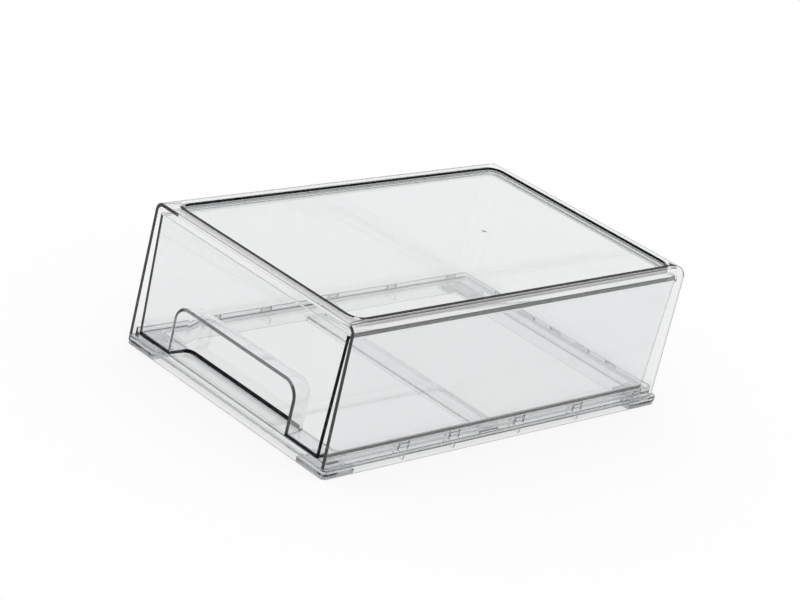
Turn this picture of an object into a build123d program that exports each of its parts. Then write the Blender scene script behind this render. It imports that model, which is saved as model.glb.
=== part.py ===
"""Stackable drawer box: a clear hood snapped on a base frame, a pull-out drawer and four corner pads.

Millimetres. The origin is the middle of the footprint on the surface that the box stands on.
X is the width, the drawer's front faces -Y, and Z is up.
"""
from build123d import *
import os

# ---------------------------------------------------------------- driving dimensions
# Base frame: the footprint of the whole box.
base_width = 202.5
base_depth = 325.0
base_corner = 4.0
base_wall = 1.8
ledge_height = 6.8         # from the base's lower edge to the ledge that carries the hood
runner_rise = 3.4          # from the ledge to the runners that carry the drawer
upstand_rise = 3.0         # from the runners to the top of the wall inside the hood
side_runner_width = 15.0
front_sill_width = 20.0
back_rail_width = 22.0
sill_setback = 3.0         # the sill's step stands behind the base's front face by this
band_inset = 0.7           # the lower band of the base's side stands back by this
band_height = 2.8
cross_bar_width = 19.0
cross_bar_height = 3.6
rib_thickness = 1.2

# Hood: top, sides and back in one moulding.
ledge_side = 1.75          # the base stands out past the hood's sides by this
ledge_end = 0.5            # and past its front and back by this
hood_side_draft = 1.3      # each side leans in by this over its height
hood_wall = 2.8
hood_top_wall = 2.5
hood_corner = 7.0
hood_edge = 6.0            # radius along the top edges of the sides and the back
box_height = 105.6
rim_width = 10.4           # flat rim round the sunk top panel
recess_depth = 3.0
recess_corner = 5.0
recess_web = 2.2
gate_mark_radius = 3.5
gate_mark_depth = 0.4
gate_mark_y = 52.0

# Drawer: an open tray with a finger alcove under its front.
drawer_side_draft = 2.4    # each side leans in by this towards the floor
drawer_wall = 2.0
drawer_floor = 2.2
drawer_front_corner = 1.5
drawer_back_corner = 5.0
drawer_foot_edge = 1.2
drawer_back_draft = 0.6
drawer_front_setback = 0.7
drawer_back_gap = 3.7      # between the drawer's back and the hood's back wall
lip_reach = 1.2
lip_height = 1.8
alcove_width = 118.4
alcove_height = 35.6
alcove_depth = 17.5
alcove_corner = 10.0
alcove_rear_corner = 5.0
alcove_draft = 1.2         # the alcove is this much narrower and lower at its back, on each side
floor_mark_radius = 2.0
floor_mark_depth = 0.3
floor_mark_place = (8.0, -12.0)

# Snap tabs on the base's upstand, and the pockets inside the hood that they catch.
tab_width = 8.0
tab_slot = 1.0
tab_root = 1.0             # the slots start this far above the ledge
bead_root = 0.3            # the beads start this far above the runners
bead_reach = 0.9
bead_height = 2.4
bead_tip = 0.85            # height of the bead's upright tip
side_tab_distances = (21.0, 84.0, 143.0, 206.0, 253.0)   # from the hood's back
back_tab_places = (-56.0, 0.0, 56.0)
stop_width = 14.0
stop_places = (-28.0, 28.0)

# Corner pads: soft L-shaped plugs in the base's corners.
pad_proud = 0.4            # how far the pads stand out below the base
pad_thickness = 2.0
pad_leg = 25.0
pad_groove_count = 5
pad_groove_width = 1.6
pad_groove_depth = 0.5

# Clearances.
lip_clearance = 0.6        # drawer's lip to the hood's sides
drawer_headroom = 2.3      # drawer's lip to the underside of the sunk panel
hood_clearance = 0.3       # base's upstand to the hood's inner faces
stop_clearance = 0.3       # closed drawer to the stops
bead_clearance = 0.2       # bead in its pocket
pad_clearance = 0.2        # pad to the walls of the channel that holds it

# Construction values.
sharp_corner = 0.5         # radius of the corners that are nearly sharp
cut_margin = 0.5           # how far a cut or a selection reaches past its edge
touch = 0.01               # how near a height an edge counts as lying at it

# ---------------------------------------------------------------- heights and places that follow
base_low = pad_proud
ledge_z = base_low + ledge_height
runner_z = ledge_z + runner_rise
upstand_z = runner_z + upstand_rise
pan_low = box_height - recess_depth - hood_top_wall
drawer_top_z = pan_low - drawer_headroom
hood_ceiling_z = box_height - hood_top_wall

base_front = -base_depth / 2
base_back = base_depth / 2
hood_front = base_front + ledge_end
hood_back = base_back - ledge_end
hood_width_low = base_width - 2 * ledge_side
hood_width_high = hood_width_low - 2 * hood_side_draft
hood_lean = hood_side_draft / (box_height - ledge_z)
upstand_x = hood_width_low / 2 - hood_lean * (upstand_z - ledge_z) - hood_wall - hood_clearance
upstand_back = hood_back - hood_wall - hood_clearance
upstand_corner = hood_corner - hood_wall - hood_clearance
runner_front = base_front + sill_setback

opening_x = base_width / 2 - side_runner_width
opening_front = base_front + front_sill_width
opening_back = base_back - back_rail_width

drawer_front = hood_front + drawer_front_setback
drawer_back = hood_back - hood_wall - drawer_back_gap
drawer_back_low = drawer_back - drawer_back_draft
lip_x = hood_width_low / 2 - hood_lean * (drawer_top_z - ledge_z) - hood_wall - lip_clearance
drawer_width_high = 2 * (lip_x - lip_reach)
drawer_width_low = drawer_width_high - 2 * drawer_side_draft
bead_z = runner_z + bead_root
side_tab_places = [hood_back - distance for distance in side_tab_distances]
rib_places = side_tab_places[1:]


# ---------------------------------------------------------------- shared outlines
def outline(width, front_y, back_y, front_radius, back_radius):
    """A rectangle seen from above, with one corner radius at the front and one at the back."""
    with BuildSketch(mode=Mode.PRIVATE) as plan:
        with Locations((0, (front_y + back_y) / 2)):
            Rectangle(width, back_y - front_y)
        if front_radius > 0:
            fillet(plan.vertices().group_by(Axis.Y)[0], front_radius)
        if back_radius > 0:
            fillet(plan.vertices().group_by(Axis.Y)[-1], back_radius)
    return plan.sketch


def opening_outline(grow):
    """The hole in the middle of the base frame, seen from above and grown on every side."""
    radius = base_corner + grow
    return outline(2 * (opening_x + grow), opening_front - grow, opening_back + grow, radius, radius)


def frame_ring(outer_inset, inner_grow):
    """The base frame seen from above, from its outer face moved in to its hole grown out."""
    radius = max(base_corner - outer_inset, sharp_corner)
    with BuildSketch(mode=Mode.PRIVATE) as plan:
        add(outline(base_width - 2 * outer_inset, base_front + outer_inset, base_back - outer_inset, radius, radius))
        add(opening_outline(inner_grow), mode=Mode.SUBTRACT)
    return plan.sketch


def bead_outline(face, clearance):
    """A snap bead cut through the upstand's face: flat below, sloping back to the face above."""
    low = bead_z - clearance
    reach = face + bead_reach + clearance
    with BuildSketch(mode=Mode.PRIVATE) as profile:
        with BuildLine():
            Polyline(
                (face - base_wall / 2, low),
                (reach, low),
                (reach, low + bead_tip),
                (face, bead_z + bead_height + clearance),
                (face - base_wall / 2, bead_z + bead_height + clearance),
                close=True,
            )
        make_face()
    return profile.sketch


def alcove_form(grow):
    """The finger alcove as a solid, grown on its sides, top and back: it narrows a little inwards."""
    rear_y = drawer_front + alcove_depth + grow
    with BuildPart(mode=Mode.PRIVATE) as form:
        for plane_y, shrink in ((drawer_front, 0.0), (rear_y, alcove_draft)):
            with BuildSketch(Plane.XZ.offset(-plane_y)) as mouth:
                with Locations((0, runner_z)):
                    Rectangle(
                        alcove_width + 2 * (grow - shrink),
                        alcove_height + grow - shrink,
                        align=(Align.CENTER, Align.MIN),
                    )
                fillet(mouth.vertices().group_by(Axis.Y)[-1], alcove_corner + grow)
        loft()
        rear = form.faces().sort_by(Axis.Y)[-1]
        fillet(rear.edges().filter_by_position(Axis.Z, runner_z + cut_margin, box_height), alcove_rear_corner + grow)
    return form.part


alcove_space = alcove_form(0.0)
alcove_shell = alcove_form(drawer_wall)

# ---------------------------------------------------------------- base frame
with BuildPart() as base_frame:
    # Outer band in two steps, with the ledge for the hood on top.
    with BuildSketch(Plane.XY.offset(base_low)):
        add(frame_ring(band_inset, 0))
    extrude(amount=band_height)
    with BuildSketch(Plane.XY.offset(base_low + band_height)):
        add(frame_ring(0, 0))
    extrude(amount=ledge_height - band_height)

    # Runners: the raised inner part of the frame, which carries the drawer.
    with BuildSketch(Plane.XY.offset(ledge_z)):
        add(outline(2 * upstand_x, runner_front, upstand_back, 0, upstand_corner))
        add(opening_outline(0), mode=Mode.SUBTRACT)
    extrude(amount=runner_rise)

    # Upstand: the thin wall inside the hood's sides and back.
    with BuildSketch(Plane.XY.offset(runner_z)):
        add(outline(2 * upstand_x, runner_front, upstand_back, 0, upstand_corner))
        inner_corner = upstand_corner - base_wall
        add(
            outline(2 * (upstand_x - base_wall), runner_front - cut_margin, upstand_back - base_wall, 0, inner_corner),
            mode=Mode.SUBTRACT,
        )
    extrude(amount=upstand_rise)

    # The frame is cored out from below to an even wall, in two steps like its top.
    with BuildSketch(Plane.XY.offset(base_low)):
        add(frame_ring(band_inset + base_wall, base_wall))
    extrude(amount=ledge_height - base_wall, mode=Mode.SUBTRACT)
    with BuildSketch(Plane.XY.offset(ledge_z - base_wall)):
        core_corner = upstand_corner - base_wall
        core_front = runner_front + base_wall
        add(outline(2 * (upstand_x - base_wall), core_front, upstand_back - base_wall, core_corner, core_corner))
        add(opening_outline(base_wall), mode=Mode.SUBTRACT)
    extrude(amount=runner_rise, mode=Mode.SUBTRACT)

    # Cross bar at mid-depth: an upside-down channel that ties the two runners.
    with BuildSketch(Plane.XY.offset(base_low)):
        Rectangle(2 * (opening_x + base_wall), cross_bar_width)
    extrude(amount=cross_bar_height)
    with BuildSketch(Plane.XY.offset(base_low)):
        Rectangle(2 * opening_x, cross_bar_width - 2 * base_wall)
    extrude(amount=cross_bar_height - base_wall, mode=Mode.SUBTRACT)

    # Thin ribs across the side channels.
    rib_outer = base_width / 2 - band_inset - base_wall / 2
    rib_inner = opening_x + base_wall / 2
    rib_middle = (rib_outer + rib_inner) / 2
    with BuildSketch(Plane.XY.offset(pad_thickness)):
        with Locations(*[(side * rib_middle, rib_y) for side in (-1, 1) for rib_y in rib_places]):
            Rectangle(rib_outer - rib_inner, rib_thickness)
    extrude(amount=ledge_z - base_wall / 2 - pad_thickness)

    # A floor across each corner of the channel, which the pads are pressed against.
    corner_reach = pad_leg + band_inset + base_wall
    with BuildSketch(Plane.XY.offset(pad_thickness)):
        add(frame_ring(band_inset + base_wall / 2, base_wall / 2))
        Rectangle(base_width, base_depth - 2 * corner_reach, mode=Mode.SUBTRACT)
        Rectangle(base_width - 2 * corner_reach, base_depth, mode=Mode.SUBTRACT)
    extrude(amount=base_wall)

    # Stops in front of the back upstand and as high, which the closed drawer meets.
    stop_front = drawer_back_low + stop_clearance
    stop_middle = (stop_front + upstand_back) / 2
    with BuildSketch(Plane.XY.offset(runner_z - base_wall / 2)):
        with Locations(*[(stop_x, stop_middle) for stop_x in stop_places]):
            Rectangle(stop_width, upstand_back - stop_front)
    extrude(amount=upstand_rise + base_wall / 2)

    # Snap tabs: two slots free a short stretch of the upstand.
    slot_offsets = [edge * (tab_width + tab_slot) / 2 for edge in (-1, 1)]
    slot_cut = base_wall + 2 * cut_margin
    slot_x = upstand_x - base_wall / 2
    slot_y = upstand_back - base_wall / 2
    with BuildSketch(Plane.XY.offset(ledge_z + tab_root)):
        with Locations(*[(side * slot_x, y + d) for side in (-1, 1) for y in side_tab_places for d in slot_offsets]):
            Rectangle(slot_cut, tab_slot)
        with Locations(*[(x + d, slot_y) for x in back_tab_places for d in slot_offsets]):
            Rectangle(tab_slot, slot_cut)
    extrude(amount=upstand_z - ledge_z, mode=Mode.SUBTRACT)

    # Beads on the tabs.
    for tab_y in side_tab_places:
        with BuildSketch(Plane.XZ.offset(-tab_y)) as side_bead:
            add(bead_outline(upstand_x, 0))
            mirror(about=Plane.YZ)
        extrude(amount=tab_width / 2, both=True)
    for tab_x in back_tab_places:
        with BuildSketch(Plane.YZ.offset(tab_x)):
            add(bead_outline(upstand_back, 0))
        extrude(amount=tab_width / 2, both=True)

# ---------------------------------------------------------------- hood
with BuildPart() as hood:
    # Outer form: it leans in slightly towards the top, with sharp ends at the open front.
    with BuildSketch(Plane.XY.offset(ledge_z)):
        add(outline(hood_width_low, hood_front, hood_back, 0, hood_corner))
    with BuildSketch(Plane.XY.offset(box_height)):
        add(outline(hood_width_high, hood_front, hood_back, 0, hood_corner))
    loft()
    top_edges = hood.edges().group_by(Axis.Z)[-1]
    fillet(top_edges.filter_by_position(Axis.Y, hood_front + cut_margin, hood_back), hood_edge)

    # Cavity, open at the front and below.
    for cavity_z in (ledge_z, hood_ceiling_z):
        cavity_width = hood_width_low - 2 * hood_lean * (cavity_z - ledge_z) - 2 * hood_wall
        with BuildSketch(Plane.XY.offset(cavity_z)):
            add(outline(cavity_width, hood_front, hood_back - hood_wall, 0, hood_corner - hood_wall))
    loft(mode=Mode.SUBTRACT)
    ceiling_edges = hood.edges().filter_by_position(Axis.Z, hood_ceiling_z - touch, hood_ceiling_z + touch)
    fillet(ceiling_edges.filter_by_position(Axis.Y, hood_front + cut_margin, hood_back), hood_edge - hood_top_wall)

    # The sunk top panel: a pan hangs below the rim, and the recess is cut into it.
    recess_x = hood_width_high / 2 - rim_width
    recess_y = hood_back - rim_width
    with BuildSketch(Plane.XY.offset(pan_low)):
        pan_corner = recess_corner + recess_web
        RectangleRounded(2 * (recess_x + recess_web), 2 * (recess_y + recess_web), pan_corner)
    extrude(amount=box_height - hood_top_wall / 2 - pan_low)
    with BuildSketch(Plane.XY.offset(box_height - recess_depth)):
        RectangleRounded(2 * recess_x, 2 * recess_y, recess_corner)
    extrude(amount=recess_depth, mode=Mode.SUBTRACT)

    # Shallow round gate mark in the panel.
    with BuildSketch(Plane.XY.offset(box_height - recess_depth - gate_mark_depth)):
        with Locations((0, gate_mark_y)):
            Circle(gate_mark_radius)
    extrude(amount=gate_mark_depth, mode=Mode.SUBTRACT)

    # Pockets that the base's snap beads catch.
    for tab_y in side_tab_places:
        with BuildSketch(Plane.XZ.offset(-tab_y)):
            add(bead_outline(upstand_x, bead_clearance))
            mirror(about=Plane.YZ)
        extrude(amount=tab_width / 2 + bead_clearance, both=True, mode=Mode.SUBTRACT)
    for tab_x in back_tab_places:
        with BuildSketch(Plane.YZ.offset(tab_x)):
            add(bead_outline(upstand_back, bead_clearance))
        extrude(amount=tab_width / 2 + bead_clearance, both=True, mode=Mode.SUBTRACT)

# ---------------------------------------------------------------- drawer
with BuildPart() as drawer:
    # Outer form: upright front, sides and back leaning in towards the floor.
    with BuildSketch(Plane.XY.offset(runner_z)):
        add(outline(drawer_width_low, drawer_front, drawer_back_low, drawer_front_corner, drawer_back_corner))
    with BuildSketch(Plane.XY.offset(drawer_top_z)):
        add(outline(drawer_width_high, drawer_front, drawer_back, drawer_front_corner, drawer_back_corner))
    loft()
    fillet(drawer.edges().group_by(Axis.Z)[0], drawer_foot_edge)

    # Lip round the top of the sides and the back.
    with BuildSketch(Plane.XY.offset(drawer_top_z - lip_height)):
        lip_front = drawer_front + drawer_front_corner
        lip_corner = drawer_back_corner + lip_reach
        add(outline(drawer_width_high + 2 * lip_reach, lip_front, drawer_back + lip_reach, 0, lip_corner))
    extrude(amount=lip_height)

    # Inside of the tray.
    drawer_lean = drawer_side_draft / (drawer_top_z - runner_z)
    floor_z = runner_z + drawer_floor
    inner_corner_radius = drawer_back_corner - drawer_wall
    with BuildSketch(Plane.XY.offset(floor_z)):
        tray_width = drawer_width_low + 2 * drawer_lean * drawer_floor - 2 * drawer_wall
        tray_front = drawer_front + drawer_wall
        add(outline(tray_width, tray_front, drawer_back_low - drawer_wall, sharp_corner, inner_corner_radius))
    with BuildSketch(Plane.XY.offset(drawer_top_z)):
        tray_width = drawer_width_high - 2 * drawer_wall
        add(outline(tray_width, tray_front, drawer_back - drawer_wall, sharp_corner, inner_corner_radius))
    loft(mode=Mode.SUBTRACT)

    # Finger alcove: a shell inside the tray, open at the front and below.
    add(alcove_shell)
    add(alcove_space, mode=Mode.SUBTRACT)

    # Small round gate mark in the floor.
    with BuildSketch(Plane.XY.offset(floor_z - floor_mark_depth)):
        with Locations(floor_mark_place):
            Circle(floor_mark_radius)
    extrude(amount=floor_mark_depth, mode=Mode.SUBTRACT)


# ---------------------------------------------------------------- corner pads
def corner_pad(side_x, side_y):
    """An L-shaped pad in one corner of the base's channel, with grip grooves across its underside."""
    inset = band_inset + base_wall + pad_clearance
    centre_x = side_x * (base_width / 2 - inset - pad_leg / 2)
    centre_y = side_y * (base_depth / 2 - inset - pad_leg / 2)
    with BuildPart(mode=Mode.PRIVATE) as pad:
        with BuildSketch():
            add(frame_ring(inset, base_wall + pad_clearance))
            with Locations((centre_x, centre_y)):
                Rectangle(pad_leg, pad_leg, mode=Mode.INTERSECT)
        extrude(amount=pad_thickness)
        pitch = pad_leg / pad_groove_count
        with BuildSketch():
            with Locations((centre_x, centre_y)):
                with GridLocations(pitch, pad_leg, pad_groove_count, 1):
                    Rectangle(pad_groove_width, pad_leg + 2 * cut_margin)
        extrude(amount=pad_groove_depth, mode=Mode.SUBTRACT)
    return pad.part


pads = {
    "pad_front_left": corner_pad(-1, -1),
    "pad_front_right": corner_pad(1, -1),
    "pad_back_left": corner_pad(-1, 1),
    "pad_back_right": corner_pad(1, 1),
}

# ---------------------------------------------------------------- export
os.makedirs("parts", exist_ok=True)

base_frame.part.label = "base_frame"
export_step(base_frame.part, "parts/base_frame.step")
hood.part.label = "hood"
export_step(hood.part, "parts/hood.step")
drawer.part.label = "drawer"
export_step(drawer.part, "parts/drawer.step")
for pad_name, pad_part in pads.items():
    pad_part.label = pad_name
    export_step(pad_part, "parts/" + pad_name + ".step")
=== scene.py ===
"""Looks of a stackable drawer box in clear moulded plastic.

Every shape is a grid of points worked out with numpy: a profile carried along a plan outline. Sizes are in
metres, in the frame of the construction model: X is the width, the drawer's front faces -Y, and Z is up.
"""

import math

import bmesh
import bpy
import numpy as np
from bpy.props import FloatProperty, FloatVectorProperty, IntProperty, PointerProperty
from mathutils import Matrix, Vector


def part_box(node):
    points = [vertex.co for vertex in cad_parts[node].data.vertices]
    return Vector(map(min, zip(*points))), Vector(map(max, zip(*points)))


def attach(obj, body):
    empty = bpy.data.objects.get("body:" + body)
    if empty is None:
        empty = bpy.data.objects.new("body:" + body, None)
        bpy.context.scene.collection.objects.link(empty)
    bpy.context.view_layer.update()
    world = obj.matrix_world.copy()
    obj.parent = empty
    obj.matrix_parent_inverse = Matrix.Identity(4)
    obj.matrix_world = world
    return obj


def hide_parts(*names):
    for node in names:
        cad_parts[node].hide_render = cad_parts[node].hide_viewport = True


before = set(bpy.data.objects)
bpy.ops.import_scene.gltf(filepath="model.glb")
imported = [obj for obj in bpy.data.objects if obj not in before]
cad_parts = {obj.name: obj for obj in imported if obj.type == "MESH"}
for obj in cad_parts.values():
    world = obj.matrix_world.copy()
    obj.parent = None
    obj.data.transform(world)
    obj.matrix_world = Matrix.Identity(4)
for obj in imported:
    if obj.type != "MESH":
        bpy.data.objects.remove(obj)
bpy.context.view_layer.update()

bl_info = {
    "name": "Stackable Drawer Box",
    "version": (1, 0, 0),
    "blender": (4, 5, 0),
    "location": "View3D > Sidebar > Drawer Box",
    "description": "Clear moulded box with a hood, a base frame, a pull-out drawer and corner pads",
    "category": "Object",
}

hood_low, hood_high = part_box("hood")
drawer_low, drawer_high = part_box("drawer")
pad_low, pad_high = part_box("pad_front_left")

# How finely curved stretches are divided.
corner_steps = 10
edge_steps = 10
foot_steps = 6
front_stops = 5            # points across the front of the hood's rings
groove_steps = 8           # stretches of the pads in each groove
pad_edge_stops = 4         # points on each rounded edge of the pads
bowl_rings = (1.0, 0.85, 0.7, 0.5, 0.3, 0.0)    # rings of the moulding mark, as shares of its radius

same_place = 2e-6          # points closer than this are one point
near = 1e-4                # slack for telling which faces lie at a place
air = 5e-5                 # thin air gap where one piece rests on another
sharp_angle = math.radians(38)      # edges that turn more than this are softened
flat_angle = math.radians(1)        # faces that turn less than this are one flat face
flat_weight = 100                   # how strongly flat faces keep their own normals

# Which of a piece's finishes a face wears: the clear plastic, a line of painted shade or a line of painted
# highlight; and the parts of a unit normal that tell which way it faces.
clear_face, painted_shade_face, painted_highlight_face = 0, 1, 2
barely, partly, halfway, fully = 0.1, 0.2, 0.5, 0.9
upright_slope = 0.3        # an upright face's normal rises or falls less than this

# How many turns a ray may take: enough for all the clear faces on its way.
light_bounces = 40
gloss_bounces = 24


def length(name, description, default):
    """A length that a user may change, in metres."""
    return FloatProperty(
        name=name, description=description, default=default, min=0.0, unit="LENGTH", precision=5
    )


def colour(name, description, default):
    """A colour that a user may change."""
    return FloatVectorProperty(
        name=name, description=description, default=default, size=4, min=0.0, max=1.0, subtype="COLOR"
    )


# ---------------------------------------------------------------- settings
class HoodSizes(bpy.types.PropertyGroup):
    """Sizes of the hood: top, sides and back in one moulding."""

    wall: length("Wall", "Thickness of the sides and the back", 0.00275)
    top_wall: length("Top wall", "Thickness of the top", 0.0025)
    side_draft: length("Side draft", "How far each side leans in over its height", 0.0013)
    corner: length("Corner", "Radius of the upright back corners", 0.007)
    edge: length("Top edge", "Radius along the top edges of the sides and the back", 0.006)
    rim: length("Rim", "Width of the flat rim round the sunk panel", 0.0104)
    recess: length("Recess", "How far the top panel is sunk", 0.003)
    recess_corner: length("Recess corner", "Corner radius of the sunk panel", 0.0085)
    # The recess line and the rim line size bands of painted shade: opaque dark strips that stand in for the dark
    # edges of the clear plastic.
    recess_shade_line: length("Recess line", "Height of the dark line along the top of the recess", 0.0015)
    rim_shade_line: length(
        "Rim line", "Width of the dark line along the rim's inner edge in front and at the right", 0.0033
    )
    web: length("Web", "Wall between the sunk panel and the hood's inside", 0.0022)
    gate_radius: length("Gate mark", "Radius of the moulding mark on the panel", 0.0035)
    gate_depth: length("Gate depth", "Depth of the moulding mark", 0.00025)
    gate_place: length("Gate place", "How far the mark lies behind the middle", 0.052)
    pocket: length("Pocket depth", "Depth of the pockets that catch the base's beads", 0.0008)
    pocket_low: length("Pocket foot", "Height of the pockets' lower edge", 0.0107)
    pocket_tip: length("Pocket tip", "Height where the pockets start to slope back", 0.01155)
    pocket_high: length("Pocket top", "Height of the pockets' upper edge", 0.01297)
    pocket_width: length("Pocket width", "Length of each pocket along the wall", 0.0084)
    softening: length("Edge softening", "Radius on the edges that are nearly sharp", 0.00035)


class DrawerSizes(bpy.types.PropertyGroup):
    """Sizes of the drawer: an open tray with a finger alcove."""

    wall: length("Wall", "Thickness of the front, sides and back", 0.002)
    floor: length("Floor", "Thickness of the floor", 0.0022)
    side_draft: length("Side draft", "How far each side leans in towards the floor", 0.0024)
    back_draft: length("Back draft", "How far the back leans in towards the floor", 0.0006)
    front_corner: length("Front corner", "Radius of the upright front corners", 0.0015)
    back_corner: length("Back corner", "Radius of the upright back corners", 0.005)
    foot: length("Foot edge", "Radius along the lower edges", 0.0012)
    inside_foot: length("Inside edge", "Radius where the walls meet the floor", 0.001)
    lip_reach: length("Lip reach", "How far the lip stands out", 0.0012)
    lip_height: length("Lip height", "Height of the lip", 0.0018)
    alcove_width: length("Alcove width", "Width of the finger alcove", 0.1184)
    alcove_height: length("Alcove height", "Height of the finger alcove", 0.0356)
    alcove_depth: length("Alcove depth", "Depth of the finger alcove", 0.0175)
    alcove_corner: length("Alcove corner", "Radius of the alcove's upper corners", 0.010)
    alcove_rear: length("Alcove rear", "Radius round the alcove's rear wall", 0.005)
    alcove_draft: length("Alcove draft", "How much narrower the alcove is at its rear, on each side", 0.0012)
    # The foot line sizes a band of painted shade along the foot of the front and the alcove.
    foot_shade_band: length("Foot line", "Height of the dark line along the foot of the front and the alcove", 0.0029)
    softening: length("Edge softening", "Radius on the edges that are nearly sharp", 0.0003)


class BaseSizes(bpy.types.PropertyGroup):
    """Sizes of the base frame and the pads."""

    softening: length("Edge softening", "Radius on the base frame's edges", 0.0002)
    pad_inside_x: length("Pad inside", "How far a pad's inner corner lies from its outer side", 0.0103)
    pad_inside_y: length("Pad inside, end", "How far a pad's inner corner lies from its outer end", 0.0153)
    pad_groove: length("Groove", "Depth of the pads' grip grooves", 0.0005)
    pad_softening: length("Pad softening", "Radius on the pads' edges", 0.0003)
    pad_grooves: IntProperty(
        name="Grooves", description="Grip grooves across each leg of a pad", default=12, min=1
    )


class Finish(bpy.types.PropertyGroup):
    """Colours and finish of the plastics, with the painted shade and painted highlight of the edge lines and the
    painted shade on the pads.
    """

    index: FloatProperty(
        name="Index", description="Refractive index of the clear plastic", default=1.57, min=1.0
    )
    soft_index: FloatProperty(
        name="Pad index", description="Refractive index of the pads", default=1.45, min=1.0
    )
    body: colour("Tint", "What a long way through the plastic leaves of white", (0.0, 0.035, 0.06, 1.0))
    density: FloatProperty(
        name="Density", description="Darkening per metre of plastic", default=20.0, min=0.0
    )
    base_density: FloatProperty(
        name="Base density", description="Darkening per metre of the base's grey plastic", default=50.0, min=0.0
    )
    clear_pale: colour("Clear, pale", "Paler tint of the clear plastic's surface", (1.0, 1.0, 1.0, 1.0))
    clear_dull: colour("Clear, dull", "Duller tint of the clear plastic's surface", (0.985, 0.99, 0.993, 1.0))
    # Painted shade and painted highlight: the colours of the opaque lines laid along edges where the clear
    # plastic looks dark or bright.
    line_painted_shade: colour("Line, dark", "Colour of the dark edge lines", (0.006, 0.008, 0.010, 1.0))
    line_painted_shade_grey: colour("Line, grey", "Paler spots of the dark edge lines", (0.05, 0.055, 0.06, 1.0))
    line_painted_highlight: colour("Line, pale", "Colour of the pale edge lines", (0.93, 0.93, 0.93, 1.0))
    # Painted shade on the pads: the colour laid in their grooves and, half as strong, on their outer faces.
    pad_painted_shade: colour("Pad, dark", "Colour in the soft pads' grooves", (0.004, 0.006, 0.008, 1.0))
    soft_pale: colour("Pad, pale", "Colour of the soft pads", (0.92, 0.94, 0.95, 1.0))


class StageSizes(bpy.types.PropertyGroup):
    """Floor, light and camera."""

    floor_size: length("Floor", "Side of the square floor", 24.0)
    floor_colour: colour(
        "Floor colour", "Colour of the floor and of what is round it", (0.99, 0.99, 0.99, 1.0)
    )
    shadow: FloatProperty(
        name="Shadow", description="Share of the shadow that shows", default=0.16, min=0.0, max=1.0
    )
    sky: FloatProperty(
        name="Light", description="Strength of the even light from all round", default=1.0, min=0.0
    )
    camera_place: FloatVectorProperty(
        name="Camera", description="Where the camera stands", default=(1.04086, -1.20660, 0.70342),
        unit="LENGTH",
    )
    azimuth: FloatProperty(
        name="Azimuth", description="Turn round the box", default=math.radians(41.168), subtype="ANGLE"
    )
    elevation: FloatProperty(
        name="Elevation", description="How far the camera looks down", default=math.radians(22.162),
        subtype="ANGLE",
    )
    roll: FloatProperty(
        name="Roll", description="Tilt of the picture", default=math.radians(13.762), subtype="ANGLE"
    )
    lens: FloatProperty(name="Lens", description="Focal length", default=113.286, min=1.0, unit="CAMERA")


# ---------------------------------------------------------------- surfaces on grids
class Skin:
    """Collects grids and flat faces whose borders meet, and makes them one closed surface."""

    def __init__(self):
        self.points = []
        self.faces = []
        self.count = 0

    def grid(self, rows, closed=False):
        """Quads between neighbouring rows of points: rows is an array of (row, column, xyz)."""
        rows = np.asarray(rows, float)
        if closed:
            rows = np.concatenate([rows, rows[:, :1]], axis=1)
        height, width = rows.shape[:2]
        index = self.count + np.arange(height * width).reshape(height, width)
        quads = np.stack([index[:-1, :-1], index[:-1, 1:], index[1:, 1:], index[1:, :-1]], axis=-1)
        self.faces.extend(quads.reshape(-1, 4).tolist())
        self.points.append(rows.reshape(-1, 3))
        self.count += height * width

    def flat(self, *stretches):
        """One flat face inside the outline that the stretches of points make, end to end."""
        outline = np.concatenate([np.asarray(stretch, float).reshape(-1, 3) for stretch in stretches])
        self.faces.append(list(range(self.count, self.count + len(outline))))
        self.points.append(outline)
        self.count += len(outline)

    def mesh(self, name):
        """The collected faces as a mesh, with doubled points merged and all faces pointing outwards."""
        mesh = bpy.data.meshes.new(name)
        mesh.from_pydata(np.concatenate(self.points).tolist(), [], self.faces)
        return closed_mesh(mesh)


def closed_mesh(mesh):
    """Merges doubled points, drops what that leaves without area, and turns all faces outwards."""
    work = bmesh.new()
    work.from_mesh(mesh)
    bmesh.ops.remove_doubles(work, verts=work.verts, dist=same_place)
    bmesh.ops.dissolve_degenerate(work, edges=work.edges, dist=same_place)
    bmesh.ops.recalc_face_normals(work, faces=work.faces)
    work.to_mesh(mesh)
    work.free()
    return mesh


def level(outline, height):
    """A plan outline as points at one height. Height may be one number or one for each point."""
    outline = np.asarray(outline, float)
    return np.column_stack([outline, np.broadcast_to(height, len(outline))])


def bow(centre_x, centre_y, radius, start, end, steps=corner_steps):
    """Points on an arc in plan, from one angle to another in degrees."""
    angles = np.radians(np.linspace(start, end, steps + 1))
    return np.column_stack([centre_x + radius * np.cos(angles), centre_y + radius * np.sin(angles)])


def add_piece(name, mesh, finishes, body, nodes):
    """An object of the finished mesh that rides on a body and replaces its nodes."""
    mesh.shade_smooth()
    for material in finishes:
        mesh.materials.append(material)
    piece = bpy.data.objects.new(name, mesh)
    bpy.context.scene.collection.objects.link(piece)
    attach(piece, body)
    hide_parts(*nodes)
    return piece


def soften_edges(piece, radius, steps=3, clamp=False):
    """Rounds a piece's sharp edges with a bevel and keeps its flat faces flat."""
    bevel = piece.modifiers.new("softened edges", "BEVEL")
    bevel.limit_method = "ANGLE"
    bevel.angle_limit = sharp_angle
    bevel.width = radius
    bevel.segments = steps
    bevel.use_clamp_overlap = clamp
    bevel.miter_outer = "MITER_SHARP"
    normals = piece.modifiers.new("flat stays flat", "WEIGHTED_NORMAL")
    normals.weight = flat_weight


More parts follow.
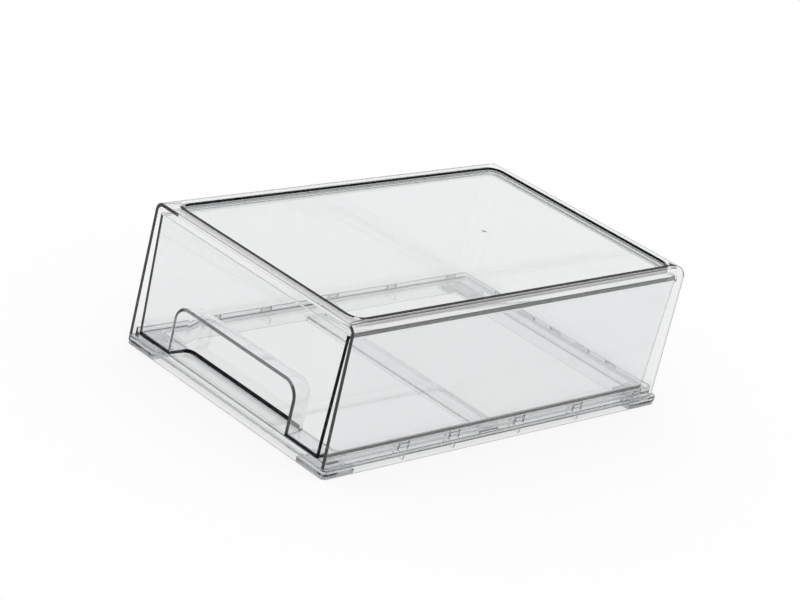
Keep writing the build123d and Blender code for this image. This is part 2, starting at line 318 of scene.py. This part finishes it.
def wear_finishes(mesh, which):
    """Gives each face the number that the function works out from all faces' middles and normals."""
    middles = np.empty(3 * len(mesh.polygons))
    normals = np.empty(3 * len(mesh.polygons))
    mesh.polygons.foreach_get("center", middles)
    mesh.polygons.foreach_get("normal", normals)
    numbers = which(middles.reshape(-1, 3), normals.reshape(-1, 3))
    mesh.polygons.foreach_set("material_index", numbers.astype(np.int32))
    return mesh


# ---------------------------------------------------------------- materials
def node_of(tree, kind, label, **inputs):
    """A labelled node with its sockets set by name, with underscores for spaces."""
    node = tree.nodes.new(kind)
    node.label = label
    for key, value in inputs.items():
        node.inputs[key.replace("_", " ")].default_value = value
    return node


def new_material(name):
    """A material with nodes: returns it, its node tree and its shader."""
    material = bpy.data.materials.new(name)
    material.use_nodes = True
    return material, material.node_tree, material.node_tree.nodes["Principled BSDF"]


def colour_mix(tree, label, first, second):
    """A node that mixes two colours."""
    mix = node_of(tree, "ShaderNodeMix", label)
    mix.data_type = "RGBA"
    mix.inputs["A"].default_value = first
    mix.inputs["B"].default_value = second
    return mix


def clear_plastic(name, finish, density, wave, flow):
    """Clear polystyrene: it bends light, darkens a long way through, and has faint flow lines and haze.

    Wave is the depth of the flow lines in metres. Flow says how much they are drawn out along X, Y and Z.
    """
    material, tree, shader = new_material(name)
    shader.inputs["Transmission Weight"].default_value = 1.0
    shader.inputs["IOR"].default_value = finish.index
    place = node_of(tree, "ShaderNodeTexCoord", "place on the object")
    stretch = node_of(tree, "ShaderNodeMapping", "drawn out along the flow", Scale=flow)
    slow = node_of(tree, "ShaderNodeTexNoise", "slow waves of the flow", Scale=9.0, Detail=1.0, Roughness=0.3)
    fine = node_of(tree, "ShaderNodeTexNoise", "fine handling haze", Scale=420.0, Detail=4.0, Roughness=0.6)
    tint = colour_mix(tree, "tint of the surface", finish.clear_pale, finish.clear_dull)
    haze = node_of(
        tree, "ShaderNodeMapRange", "roughness", From_Min=0.45, From_Max=0.8, To_Min=0.0, To_Max=0.035
    )
    waves = node_of(tree, "ShaderNodeBump", "waviness", Strength=1.0, Distance=wave)
    absorb = node_of(tree, "ShaderNodeVolumeAbsorption", "darkening with thickness", Density=density)
    absorb.inputs["Color"].default_value = finish.body
    link = tree.links.new
    link(place.outputs["Object"], stretch.inputs["Vector"])
    link(stretch.outputs["Vector"], slow.inputs["Vector"])
    link(place.outputs["Object"], fine.inputs["Vector"])
    link(slow.outputs["Fac"], tint.inputs["Factor"])
    link(tint.outputs["Result"], shader.inputs["Base Color"])
    link(fine.outputs["Fac"], haze.inputs["Value"])
    link(haze.outputs["Result"], shader.inputs["Roughness"])
    link(slow.outputs["Fac"], waves.inputs["Height"])
    link(waves.outputs["Normal"], shader.inputs["Normal"])
    link(absorb.outputs["Volume"], tree.nodes["Material Output"].inputs["Volume"])
    return material


def painted_edge_line(name, main, streak, gloss, shine):
    """A line painted along an edge on an opaque face: painted shade where the clear plastic hides what is behind
    it and looks dark, or a painted highlight where it looks bright. One colour with faint streaks.

    Gloss is the lowest roughness and shine the specular level.
    """
    material, tree, shader = new_material(name)
    shader.inputs["Specular IOR Level"].default_value = shine
    place = node_of(tree, "ShaderNodeTexCoord", "place on the object")
    streaks = node_of(tree, "ShaderNodeTexNoise", "streaks", Scale=260.0, Detail=3.0)
    sparse = node_of(tree, "ShaderNodeMapRange", "few and faint", From_Min=0.5, From_Max=0.8)
    tint = colour_mix(tree, "line and streaks", main, streak)
    dull = node_of(tree, "ShaderNodeMapRange", "roughness", To_Min=gloss, To_Max=gloss + 0.15)
    link = tree.links.new
    link(place.outputs["Object"], streaks.inputs["Vector"])
    link(streaks.outputs["Fac"], sparse.inputs["Value"])
    link(sparse.outputs["Result"], tint.inputs["Factor"])
    link(tint.outputs["Result"], shader.inputs["Base Color"])
    link(streaks.outputs["Fac"], dull.inputs["Value"])
    link(dull.outputs["Result"], shader.inputs["Roughness"])
    return material


def finishes_with_painted_edges(name, plastic, finish):
    """A piece's three finishes, in the order that its faces' numbers name them: the clear plastic, the painted
    shade line and the painted highlight line.
    """
    dark = painted_edge_line(name + "_painted_shade_line", finish.line_painted_shade, finish.line_painted_shade_grey, gloss=0.1, shine=0.05)
    pale = painted_edge_line(name + "_painted_highlight_line", finish.line_painted_highlight, finish.clear_dull, gloss=0.45, shine=0.5)
    return [plastic, dark, pale]


def soft_plastic(name, finish):
    """See-through soft plastic with a fine grain, darkened with painted shade where the pads' groove attribute
    says.
    """
    material, tree, shader = new_material(name)
    shader.inputs["Transmission Weight"].default_value = 1.0
    shader.inputs["IOR"].default_value = finish.soft_index
    place = node_of(tree, "ShaderNodeTexCoord", "place on the object")
    grain = node_of(tree, "ShaderNodeTexNoise", "grain", Scale=2600.0, Detail=3.0)
    # The groove attribute carries painted shade: full in the grooves, half on the rest of the outer face.
    groove = node_of(tree, "ShaderNodeAttribute", "in a groove of the outer face")
    groove.attribute_name = "groove"
    tint = colour_mix(tree, "soft plastic and its grooves", finish.soft_pale, finish.pad_painted_shade)
    dull = node_of(tree, "ShaderNodeMapRange", "roughness", To_Min=0.02, To_Max=0.12)
    bump = node_of(tree, "ShaderNodeBump", "grain depth", Strength=0.4, Distance=0.00002)
    link = tree.links.new
    link(place.outputs["Object"], grain.inputs["Vector"])
    link(groove.outputs["Fac"], tint.inputs["Factor"])
    link(tint.outputs["Result"], shader.inputs["Base Color"])
    link(grain.outputs["Fac"], dull.inputs["Value"])
    link(dull.outputs["Result"], shader.inputs["Roughness"])
    link(grain.outputs["Fac"], bump.inputs["Height"])
    link(bump.outputs["Normal"], shader.inputs["Normal"])
    return material


def white_ground(name, colour_value, shadow):
    """The floor: its own lit colour mixed with plain white for every ray that carries the background."""
    material, tree, lit = new_material(name)
    lit.inputs["Base Color"].default_value = colour_value
    lit.inputs["Roughness"].default_value = 1.0
    lit.inputs["Specular IOR Level"].default_value = 0.0
    plain = node_of(tree, "ShaderNodeEmission", "plain white", Strength=1.0)
    rays = node_of(tree, "ShaderNodeLightPath", "kind of ray")
    seen = node_of(tree, "ShaderNodeMath", "seen by the camera or in gloss")
    through = node_of(tree, "ShaderNodeMath", "or through glass")
    share = node_of(tree, "ShaderNodeMath", "less the shadow's share")
    seen.operation = through.operation = "MAXIMUM"
    share.operation = "MULTIPLY"
    share.inputs[1].default_value = 1.0 - shadow
    mix = node_of(tree, "ShaderNodeMixShader", "background over shadow")
    link = tree.links.new
    link(rays.outputs["Is Camera Ray"], seen.inputs[0])
    link(rays.outputs["Is Glossy Ray"], seen.inputs[1])
    link(seen.outputs[0], through.inputs[0])
    link(rays.outputs["Is Transmission Ray"], through.inputs[1])
    link(through.outputs[0], share.inputs[0])
    link(share.outputs[0], mix.inputs[0])
    link(lit.outputs[0], mix.inputs[1])
    link(plain.outputs[0], mix.inputs[2])
    link(mix.outputs[0], tree.nodes["Material Output"].inputs["Surface"])
    return material


# ---------------------------------------------------------------- hood
tab_distances = np.array([0.021, 0.084, 0.143, 0.206, 0.253])   # of the side tabs, from the hood's back
back_tabs = np.array([-0.056, 0.0, 0.056])


def stops_along(start, end, centres, half):
    """Places along a wall with each pocket's two edges doubled, and which of them lie in a pocket."""
    edges = np.stack([centres - half, centres - half, centres + half, centres + half], axis=1).ravel()
    inside = np.tile([0.0, 1.0, 1.0, 0.0], len(centres))
    return np.concatenate([[start], edges, [end]]), np.concatenate([[0.0], inside, [0.0]])


class HoodPlan:
    """Columns round the hood's wall: up the left side, along the back and down the right side."""

    def __init__(self, sizes):
        half = sizes.pocket_width / 2
        centres = np.sort(hood_high.y - tab_distances)
        self.side, self.side_pocket = stops_along(hood_low.y, hood_high.y, centres, half)
        self.back, self.back_pocket = stops_along(hood_low.x, hood_high.x, back_tabs, half)
        still = np.zeros(corner_steps + 1)
        self.pocket = np.concatenate([
            self.side_pocket, still, self.back_pocket, still, self.side_pocket[::-1],
        ])
        way = [(-1.0, 0.0)] * len(self.side) + [(0.0, 0.0)] * len(still) + [(0.0, 1.0)] * len(self.back)
        way += [(0.0, 0.0)] * len(still) + [(1.0, 0.0)] * len(self.side)
        self.outward = np.array(way)

    def wall(self, half_x, front_y, back_y, radius):
        """Plan of the wall at one level: straight sides and back, joined by arcs of the radius."""
        side = np.clip(self.side, front_y, back_y - radius)
        back = np.clip(self.back, radius - half_x, half_x - radius)
        return np.concatenate([
            np.column_stack([np.full(len(side), -half_x), side]),
            bow(radius - half_x, back_y - radius, radius, 180, 90),
            np.column_stack([back, np.full(len(back), back_y)]),
            bow(half_x - radius, back_y - radius, radius, 90, 0),
            np.column_stack([np.full(len(side), half_x), side[::-1]]),
        ])

    def ring(self, half_x, front_y, back_y, radius):
        """The same plan closed round the front, with two more arcs of the radius."""
        across = np.linspace(half_x - radius, radius - half_x, front_stops)
        return np.concatenate([
            self.wall(half_x, front_y + radius, back_y, radius),
            bow(half_x - radius, front_y + radius, radius, 0, -90),
            np.column_stack([across, np.full(len(across), front_y)]),
            bow(radius - half_x, front_y + radius, radius, 270, 180),
        ])

    def open_ring(self, wall, ring, front_y):
        """The wall's plan closed by a straight front, with its points beside those of a rounded ring."""
        front = ring[len(wall):].copy()
        front[:, 0] *= wall[-1, 0] / ring[len(wall) - 1, 0]
        front[:, 1] = front_y
        return np.concatenate([wall, front])


def hood_mesh(sizes):
    """A bell of one wall thickness, open below and in front, whose top has a sunk panel.

    Outside profile, from the rim: a quarter circle of the edge radius, then the wall down to the ledge, leaning
    out by the draft. Inside: the same wall less its thickness, with pockets, up to a smaller quarter circle.
    """
    plan = HoodPlan(sizes)
    front, back = hood_low.y, hood_high.y
    low, top = hood_low.z + air, hood_high.z
    lean = sizes.side_draft / (top - low)
    half_low = hood_high.x
    inner_edge = sizes.edge - sizes.top_wall
    ceiling = top - sizes.top_wall
    turn = np.linspace(math.pi / 2, 0.0, edge_steps + 1)

    def wall_row(height, inset):
        """The wall's points at a height, drawn in by the inset from the outside."""
        half_x = half_low - lean * (height - low) - inset
        return level(plan.wall(half_x, front, back - inset, sizes.corner - inset), height)

    outside = [
        wall_row(top - sizes.edge + sizes.edge * math.sin(angle), sizes.edge * (1 - math.cos(angle)))
        for angle in turn
    ]
    outside.append(wall_row(low, 0.0))
    pocket_rows = [(low, 0.0), (sizes.pocket_low, 0.0), (sizes.pocket_low, 1.0), (sizes.pocket_tip, 1.0)]
    pocket_rows.append((sizes.pocket_high, 0.0))
    inside = []
    for height, share in pocket_rows:
        row = wall_row(height, sizes.wall)
        row[:, :2] += plan.outward * (plan.pocket * share * sizes.pocket)[:, None]
        inside.append(row)
    inside += [
        wall_row(
            ceiling - inner_edge + inner_edge * math.sin(angle),
            sizes.wall + inner_edge * (1 - math.cos(angle)),
        )
        for angle in turn[::-1]
    ]
    half_top = half_low - lean * (top - low)
    recess = plan.ring(half_top - sizes.rim, front + sizes.rim, back - sizes.rim, sizes.recess_corner)
    pan_inset = sizes.rim - sizes.web
    pan_corner = sizes.recess_corner + sizes.web
    pan = plan.ring(half_top - pan_inset, front + pan_inset, back - pan_inset, pan_corner)
    # Where the band of painted shade on the rim begins.
    rim_shade_ring = plan.ring(
        half_top - sizes.rim + sizes.rim_shade_line,
        front + sizes.rim - sizes.rim_shade_line,
        back - sizes.rim + sizes.rim_shade_line,
        sizes.recess_corner + sizes.rim_shade_line,
    )
    rim = level(plan.open_ring(outside[0][:, :2], recess, front), top)
    soffit = level(plan.open_ring(inside[-1][:, :2], pan, front), ceiling)
    panel_height = top - sizes.recess

    # The moulding mark: a shallow round bowl, deepest in its middle, with a point for each of the recess's.
    middle = np.array([0.0, sizes.gate_place])
    towards = recess - middle
    towards /= np.linalg.norm(towards, axis=1)[:, None]
    bowl = [
        level(
            middle + towards * sizes.gate_radius * reach,
            panel_height - sizes.gate_depth * (1 - reach**2) ** 2,
        )
        for reach in bowl_rings
    ]

    skin = Skin()
    skin.grid(outside + inside)
    skin.grid([rim, level(rim_shade_ring, top), level(recess, top)], closed=True)
    recess_heights = (top, top - sizes.recess_shade_line, panel_height)
    skin.grid([level(recess, height) for height in recess_heights], closed=True)
    skin.grid([level(recess, panel_height)] + bowl, closed=True)
    skin.grid([soffit, level(pan, ceiling)], closed=True)
    underside = level(pan, panel_height - sizes.top_wall)
    skin.grid([level(pan, ceiling), underside], closed=True)
    skin.flat(underside)
    count = len(outside[0])
    rows = np.array(outside + inside)
    skin.flat(rows[:, 0], soffit[count:][::-1], rows[::-1, -1], rim[count:])

    def lines(middle_of, normal):
        """Painted shade along the edge of the recess, on its wall or on the rim, and a painted highlight on the
        upright faces under the rim.
        """
        x, y, z = middle_of.T
        upright = np.abs(normal[:, 2]) < upright_slope
        in_recess = (np.abs(x) < half_top - sizes.rim + near) & (y < back - sizes.rim + near)
        in_recess &= (y > front + sizes.rim - near) & (z > panel_height)
        in_pan = (np.abs(x) < half_top - pan_inset + near) & (y < back - pan_inset + near)
        in_pan &= (y > front + pan_inset - near) & (z > panel_height - sizes.top_wall) & (z < ceiling)
        on_wall = upright & in_recess & (z > top - sizes.recess_shade_line) & (normal[:, 1] < halfway)
        on_rim = (z > top - near) & (np.abs(x) < half_top - sizes.rim + sizes.rim_shade_line)
        on_rim &= y > front + sizes.rim - sizes.rim_shade_line
        on_rim &= (y < front + sizes.rim) | (x > half_top - sizes.rim)
        return np.where(on_wall | on_rim, painted_shade_face, np.where(upright & in_pan, painted_highlight_face, clear_face))

    return wear_finishes(skin.mesh("hood_shell"), lines)


class DRAWERBOX_OT_hood(bpy.types.Operator):
    """Makes the hood: sides, back and the sunk top in one clear moulding"""

    bl_idname = "drawerbox.hood"
    bl_label = "Hood"

    def execute(self, context):
        settings = context.scene.drawer_box
        finish = settings.finish
        plastic = clear_plastic(
            "clear_hood_plastic", finish, finish.density, wave=0.00010, flow=(1.0, 0.35, 1.6)
        )
        finishes = finishes_with_painted_edges("hood", plastic, finish)
        mesh = hood_mesh(settings.hood)
        piece = add_piece("hood_shell", mesh, finishes, "cabinet", ["hood"])
        soften_edges(piece, settings.hood.softening)
        return {"FINISHED"}


# ---------------------------------------------------------------- drawer
class TrayFace:
    """One face of the tray, outer or inner: its walls, its floor and the alcove's walls, with one open top.

    The wall's columns run from the alcove's left edge along the front, up the left side, along the back, down
    the right side and along the front to the alcove's right edge.
    """

    def __init__(self, sizes, inset, floor_height, foot):
        self.sizes, self.inset, self.foot = sizes, inset, foot
        self.low, self.top = floor_height, drawer_high.z
        self.front = drawer_low.y + inset
        self.spring = drawer_low.z + sizes.alcove_height - sizes.alcove_corner
        self.half_alcove = sizes.alcove_width / 2 + inset
        self.front_corner = max(sizes.front_corner - inset, sizes.softening)
        self.back_corner = sizes.back_corner - inset
        self.rise = drawer_high.z - drawer_low.z

    def half_x(self, height):
        """Half the width at a height: the sides lean in towards the floor."""
        full = drawer_high.x - self.sizes.lip_reach
        return full - self.sizes.side_draft * (drawer_high.z - height) / self.rise - self.inset

    def back_y(self, height):
        """The back's place at a height."""
        full = drawer_high.y - self.sizes.lip_reach
        return full - self.sizes.back_draft * (drawer_high.z - height) / self.rise - self.inset

    def wall(self, height, foot_inset=0.0, lip=0.0):
        """Plan of the walls at one height. The lip stands out on all but the front."""
        half_x, back_y = self.half_x(height) - foot_inset, self.back_y(height) - foot_inset
        front_y = self.front + foot_inset
        turn = max(self.front_corner - foot_inset, self.sizes.softening / 2)
        corner = max(self.back_corner - foot_inset, self.sizes.softening)
        side = np.array([front_y + turn, back_y - corner])
        out_x, out_back, out_corner = half_x + lip, back_y + lip, corner + lip
        left = np.concatenate([
            [(-self.half_alcove, front_y)],
            bow(turn - half_x, front_y + turn, turn, 270, 180, foot_steps),
            np.column_stack([np.full(len(side), -out_x), side]),
            bow(out_corner - out_x, out_back - out_corner, out_corner, 180, 90),
        ])
        right = left[::-1] * (-1.0, 1.0)
        return level(np.concatenate([left, right]), height)

    def foot_rows(self):
        """Heights and insets of the quarter circle at the walls' foot, from below, and of the top of the band of
        painted shade along the foot.
        """
        angles = np.linspace(math.pi / 2, 0.0, foot_steps + 1)
        round_foot = [
            (self.low + self.foot * (1 - math.sin(a)), self.foot * (1 - math.cos(a)))
            for a in angles
        ]
        return round_foot + [(self.low + self.sizes.foot_shade_band, 0.0)]

    def arch(self, shrink, turn_in):
        """The alcove's outline seen from the front, narrower and lower by what it shrinks and turns in."""
        inward = shrink + turn_in
        half, crown = self.half_alcove - inward, self.spring + self.sizes.alcove_corner + self.inset - inward
        radius = self.sizes.alcove_corner + self.inset - turn_in
        feet = np.array([height for height, _ in self.foot_rows()])
        left = np.concatenate([
            np.column_stack([np.full(len(feet), -half), feet]),
            bow(radius - half, crown - radius, radius, 180, 90),
        ])
        return np.concatenate([left, left[::-1] * (-1.0, 1.0)])

    def alcove(self):
        """The alcove's sides and top: the arch carried back, closing in on its rear by a quarter circle."""
        sizes = self.sizes
        rear = drawer_low.y + sizes.alcove_depth + self.inset
        radius = sizes.alcove_rear + self.inset
        depth = rear - self.front
        rows = []
        ways = [(0.0, 0.0), (depth - radius, 0.0)]
        ways += [
            (depth - radius + radius * math.sin(a), radius * (1 - math.cos(a)))
            for a in np.linspace(0.0, math.pi / 2, corner_steps + 1)[1:]
        ]
        for way, turn_in in ways:
            outline = self.arch(sizes.alcove_draft * way / depth, turn_in)
            rows.append(np.column_stack([outline[:, 0], np.full(len(outline), self.front + way), outline[:, 1]]))
        feet = np.array([inset for _, inset in self.foot_rows()])
        rows[0][: len(feet), 1] += feet
        rows[0][-len(feet):, 1] += feet[::-1]
        return np.array(rows)

    def add_to(self, skin, lip=0.0):
        """Adds walls, alcove and front panel to the skin, and returns the walls' and the alcove's points."""
        foot = self.foot_rows()
        rows = [self.wall(height, inset) for height, inset in foot]
        rows.append(self.wall(self.spring))
        if lip > 0:
            rows.append(self.wall(self.top - self.sizes.lip_height))
            rows.append(self.wall(self.top - self.sizes.lip_height, lip=lip))
        rows.append(self.wall(self.top, lip=lip))
        rows = np.array(rows)
        skin.grid(rows)
        alcove = self.alcove()
        skin.grid(alcove)
        half = alcove.shape[1] // 2
        skin.grid([alcove[-1, :half], alcove[-1, : half - 1 : -1]])
        feet = len(foot)
        skin.flat(alcove[0, feet:-feet], rows[feet:, -1], rows[feet:, 0][::-1])
        return rows, alcove


def drawer_mesh(sizes):
    """The tray: an outer and an inner face of the same form, joined by the top of the walls."""
    skin = Skin()
    outer = TrayFace(sizes, 0.0, drawer_low.z + air, sizes.foot)
    outer_rows, outer_alcove = outer.add_to(skin, sizes.lip_reach)
    skin.flat(outer_rows[0], outer_alcove[:, -1], outer_alcove[::-1, 0])
    inner = TrayFace(sizes, sizes.wall, drawer_low.z + sizes.floor, sizes.inside_foot)
    inner_rows, inner_alcove = inner.add_to(skin)
    skin.flat(inner_rows[0], inner_alcove[:, -1], inner_alcove[::-1, 0])
    skin.grid([outer_rows[-1], inner_rows[-1]], closed=True)

    def lines(middle_of, normal):
        """Painted shade along the front corners and along the foot of all but the back, a painted highlight
        along the front's top.
        """
        x, y, z = middle_of.T
        out_x, out_y = normal[:, 0] * np.sign(x), -normal[:, 1]
        in_foot_shade_band = z < drawer_low.z + sizes.foot_shade_band
        rear = drawer_low.y + sizes.alcove_depth
        corner = (out_x > barely) & (out_y > barely) & (y < drawer_low.y + sizes.front_corner)
        front_foot = in_foot_shade_band & (out_y > partly) & (y < drawer_low.y + sizes.foot)
        side_foot = (z < drawer_low.z + sizes.foot) & (out_x > partly)
        side_foot &= np.abs(x) > drawer_high.x - 2 * sizes.side_draft
        alcove_foot = in_foot_shade_band & (out_y > partly) & (np.abs(y - rear) < sizes.alcove_rear)
        alcove_foot &= np.abs(x) < sizes.alcove_width / 2
        front_top_highlight = (normal[:, 2] > fully) & (z > drawer_high.z - near) & (y < drawer_low.y + sizes.wall)
        dark = corner | front_foot | side_foot | alcove_foot
        return np.where(dark, painted_shade_face, np.where(front_top_highlight, painted_highlight_face, clear_face))

    return wear_finishes(skin.mesh("drawer_tray"), lines)


class DRAWERBOX_OT_drawer(bpy.types.Operator):
    """Makes the drawer: a clear tray with a lip and a finger alcove"""

    bl_idname = "drawerbox.drawer"
    bl_label = "Drawer"

    def execute(self, context):
        settings = context.scene.drawer_box
        finish = settings.finish
        plastic = clear_plastic(
            "clear_drawer_plastic", finish, finish.density, wave=0.00012, flow=(0.6, 0.6, 1.0)
        )
        finishes = finishes_with_painted_edges("drawer", plastic, finish)
        mesh = drawer_mesh(settings.drawer)
        piece = add_piece("drawer_tray", mesh, finishes, "drawer", ["drawer"])
        soften_edges(piece, settings.drawer.softening)
        return {"FINISHED"}


# ---------------------------------------------------------------- base frame
def base_mesh():
    """The base frame's construction solid with its loose triangles joined and its flat faces made whole."""
    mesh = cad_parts["base_frame"].data.copy()
    mesh.name = "base_ring"
    mesh.materials.clear()
    work = bmesh.new()
    work.from_mesh(mesh)
    bmesh.ops.remove_doubles(work, verts=work.verts, dist=same_place)
    bmesh.ops.dissolve_limit(work, angle_limit=flat_angle, verts=work.verts, edges=work.edges)
    work.to_mesh(mesh)
    work.free()
    return mesh


class DRAWERBOX_OT_base(bpy.types.Operator):
    """Makes the base frame with its ledge, runners and catch tabs"""

    bl_idname = "drawerbox.base"
    bl_label = "Base frame"

    def execute(self, context):
        settings = context.scene.drawer_box
        finish = settings.finish
        plastic = clear_plastic(
            "clear_base_plastic", finish, finish.base_density, wave=0.00008, flow=(1.0, 1.0, 1.0)
        )
        piece = add_piece("base_ring", base_mesh(), [plastic], "cabinet", ["base_frame"])
        soften_edges(piece, settings.base.softening, steps=2, clamp=True)
        return {"FINISHED"}


# ---------------------------------------------------------------- pads
def pad_mesh(name, sizes, side, end):
    """An L-shaped pad with grip grooves: a section with rounded outer edges carried along both legs.

    The way runs from one leg's end to the corner and on to the other's end, on an outer and an inner line. A
    smooth wave along it draws the outer face in, once for each groove, and lifts the underside by half as much.
    The outer face gets half painted shade, and full painted shade in the grooves. Side and end are 1 or -1.
    """
    reach_x, reach_y = pad_high.x - pad_low.x, pad_high.y - pad_low.y
    corner_x = max(abs(pad_low.x), abs(pad_high.x))
    corner_y = max(abs(pad_low.y), abs(pad_high.y))
    share = np.linspace(0.0, 1.0, sizes.pad_grooves * groove_steps + 1)
    wave = 0.5 - 0.5 * np.cos(2 * math.pi * share * sizes.pad_grooves)
    still = np.zeros(len(share))
    # Each leg as columns of: outer x and y, inner x and y, all from the outer corner inwards, and the groove.
    first = np.column_stack([
        reach_x * (1 - share),
        still,
        sizes.pad_inside_x + (reach_x - sizes.pad_inside_x) * (1 - share),
        still + sizes.pad_inside_y,
        wave,
    ])
    second = np.column_stack([
        still,
        reach_y * share,
        still + sizes.pad_inside_x,
        sizes.pad_inside_y + (reach_y - sizes.pad_inside_y) * share,
        wave,
    ])
    along = np.concatenate([first, second[1:]])
    outer, inner, groove = along[:, 0:2], along[:, 2:4], along[:, 4]
    across = np.linalg.norm(inner - outer, axis=1)
    to_inner = (inner - outer) / across[:, None]
    depth = sizes.pad_groove * groove
    height, round_off = pad_high.z - air - pad_low.z, sizes.pad_softening
    arc = np.radians(np.linspace(0, 90, pad_edge_stops))
    # The section, from the inner foot out, up the outer face and back in: its distance in from the outer line,
    # which is None on the inner line, and its height.
    section = [(None, 0.0)]
    section += [(round_off * (1 - math.sin(a)), round_off * (1 - math.cos(a))) for a in arc]
    section += [(round_off * (1 - math.cos(a)), height - round_off * (1 - math.sin(a))) for a in arc]
    section += [(None, height)]
    rows = []
    painted_shades = []
    for inwards, up in section:
        on_inner_line = inwards is None
        way = across if on_inner_line else inwards + depth
        place = outer + to_inner * way[:, None]
        lift = depth / 2 * (up < round_off)
        x, y = side * (corner_x - place[:, 0]), end * (corner_y - place[:, 1])
        rows.append(np.column_stack([x, y, pad_low.z + up + lift]))
        # Painted shade: half on the outer face, more in the grooves.
        on_outer_face = not on_inner_line and inwards < round_off / 2
        painted_shades.append((0.5 + 0.5 * groove) * on_outer_face)
    rows = np.array(rows)
    skin = Skin()
    skin.grid(np.concatenate([rows, rows[:1]]))
    skin.flat(rows[:, 0])
    skin.flat(rows[:, -1])
    mesh = skin.mesh(name)
    # Each point of the finished mesh takes the painted shade of the nearest point of the rows.
    places = np.empty(3 * len(mesh.vertices))
    mesh.vertices.foreach_get("co", places)
    apart = places.reshape(-1, 1, 3) - rows.reshape(1, -1, 3)
    nearest = np.argmin((apart**2).sum(axis=2), axis=1)
    shade = mesh.attributes.new("groove", "FLOAT", "POINT")
    shade.data.foreach_set("value", np.array(painted_shades).reshape(-1)[nearest].astype(np.float32))
    return mesh


class DRAWERBOX_OT_pads(bpy.types.Operator):
    """Makes the four soft corner pads with their grip grooves"""

    bl_idname = "drawerbox.pads"
    bl_label = "Corner pads"

    def execute(self, context):
        settings = context.scene.drawer_box
        plastic = soft_plastic("soft_pad_plastic", settings.finish)
        places = {"front_left": (-1, -1), "front_right": (1, -1), "back_left": (-1, 1), "back_right": (1, 1)}
        for place, (side, end) in places.items():
            mesh = pad_mesh("corner_pad_" + place, settings.base, side, end)
            add_piece("corner_pad_" + place, mesh, [plastic], "cabinet", ["pad_" + place])
        return {"FINISHED"}


# ---------------------------------------------------------------- stage
class DRAWERBOX_OT_stage(bpy.types.Operator):
    """Makes the pale floor, the even light and the camera"""

    bl_idname = "drawerbox.stage"
    bl_label = "Floor, light and camera"

    def execute(self, context):
        scene = context.scene
        stage = scene.drawer_box.stage
        half = stage.floor_size / 2
        mesh = bpy.data.meshes.new("floor")
        corners = [(-half, -half, -air), (half, -half, -air), (half, half, -air), (-half, half, -air)]
        mesh.from_pydata(corners, [], [(0, 1, 2, 3)])
        mesh.materials.append(white_ground("floor_white", stage.floor_colour, stage.shadow))
        floor = bpy.data.objects.new("floor", mesh)
        scene.collection.objects.link(floor)
        world = bpy.data.worlds.new("even_light")
        world.use_nodes = True
        background = world.node_tree.nodes["Background"]
        background.inputs["Color"].default_value = (1.0, 1.0, 1.0, 1.0)
        background.inputs["Strength"].default_value = stage.sky
        scene.world = world

        azimuth, elevation, roll = stage.azimuth, stage.elevation, stage.roll
        ahead = Vector((
            -math.sin(azimuth) * math.cos(elevation),
            math.cos(azimuth) * math.cos(elevation),
            -math.sin(elevation),
        ))
        level_right = ahead.cross(Vector((0.0, 0.0, 1.0))).normalized()
        right = math.cos(roll) * level_right + math.sin(roll) * level_right.cross(ahead)
        turned = Matrix((right, right.cross(ahead), -ahead)).transposed().to_4x4()
        turned.translation = stage.camera_place
        data = bpy.data.cameras.new("camera")
        data.sensor_width = 36.0
        data.lens = stage.lens
        data.clip_end = 100.0
        camera = bpy.data.objects.new("camera", data)
        camera.matrix_world = turned
        scene.collection.objects.link(camera)
        scene.camera = camera
        scene.view_settings.view_transform = "Standard"
        scene.cycles.max_bounces = light_bounces
        scene.cycles.transmission_bounces = light_bounces
        scene.cycles.glossy_bounces = gloss_bounces
        return {"FINISHED"}


# ---------------------------------------------------------------- panel and registration
class DrawerBoxSettings(bpy.types.PropertyGroup):
    """All settings of the drawer box."""

    hood: PointerProperty(type=HoodSizes)
    drawer: PointerProperty(type=DrawerSizes)
    base: PointerProperty(type=BaseSizes)
    finish: PointerProperty(type=Finish)
    stage: PointerProperty(type=StageSizes)


operators = (
    DRAWERBOX_OT_stage,
    DRAWERBOX_OT_hood,
    DRAWERBOX_OT_drawer,
    DRAWERBOX_OT_base,
    DRAWERBOX_OT_pads,
)


class DRAWERBOX_PT_panel(bpy.types.Panel):
    """Lists the box's settings and the operators that make its pieces"""

    bl_idname = "DRAWERBOX_PT_panel"
    bl_label = "Drawer Box"
    bl_space_type = "VIEW_3D"
    bl_region_type = "UI"
    bl_category = "Drawer Box"

    def draw(self, context):
        settings = context.scene.drawer_box
        for name in ("hood", "drawer", "base", "finish", "stage"):
            box = self.layout.box()
            box.label(text=name.capitalize())
            group = getattr(settings, name)
            for key in group.__annotations__:
                box.prop(group, key)
        for operator in operators:
            self.layout.operator(operator.bl_idname)


classes = (
    HoodSizes,
    DrawerSizes,
    BaseSizes,
    Finish,
    StageSizes,
    DrawerBoxSettings,
    *operators,
    DRAWERBOX_PT_panel,
)


def register():
    """Registers every class and hangs the settings on the scene."""
    for item in classes:
        bpy.utils.register_class(item)
    bpy.types.Scene.drawer_box = PointerProperty(type=DrawerBoxSettings)


def unregister():
    """Takes away what register added, in the opposite order."""
    del bpy.types.Scene.drawer_box
    for item in reversed(classes):
        bpy.utils.unregister_class(item)


def main():
    """Registers the classes and makes every piece."""
    register()
    for operator in operators:
        group, name = operator.bl_idname.split(".")
        getattr(getattr(bpy.ops, group), name)()
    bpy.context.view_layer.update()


if __name__ == "__main__":
    main()
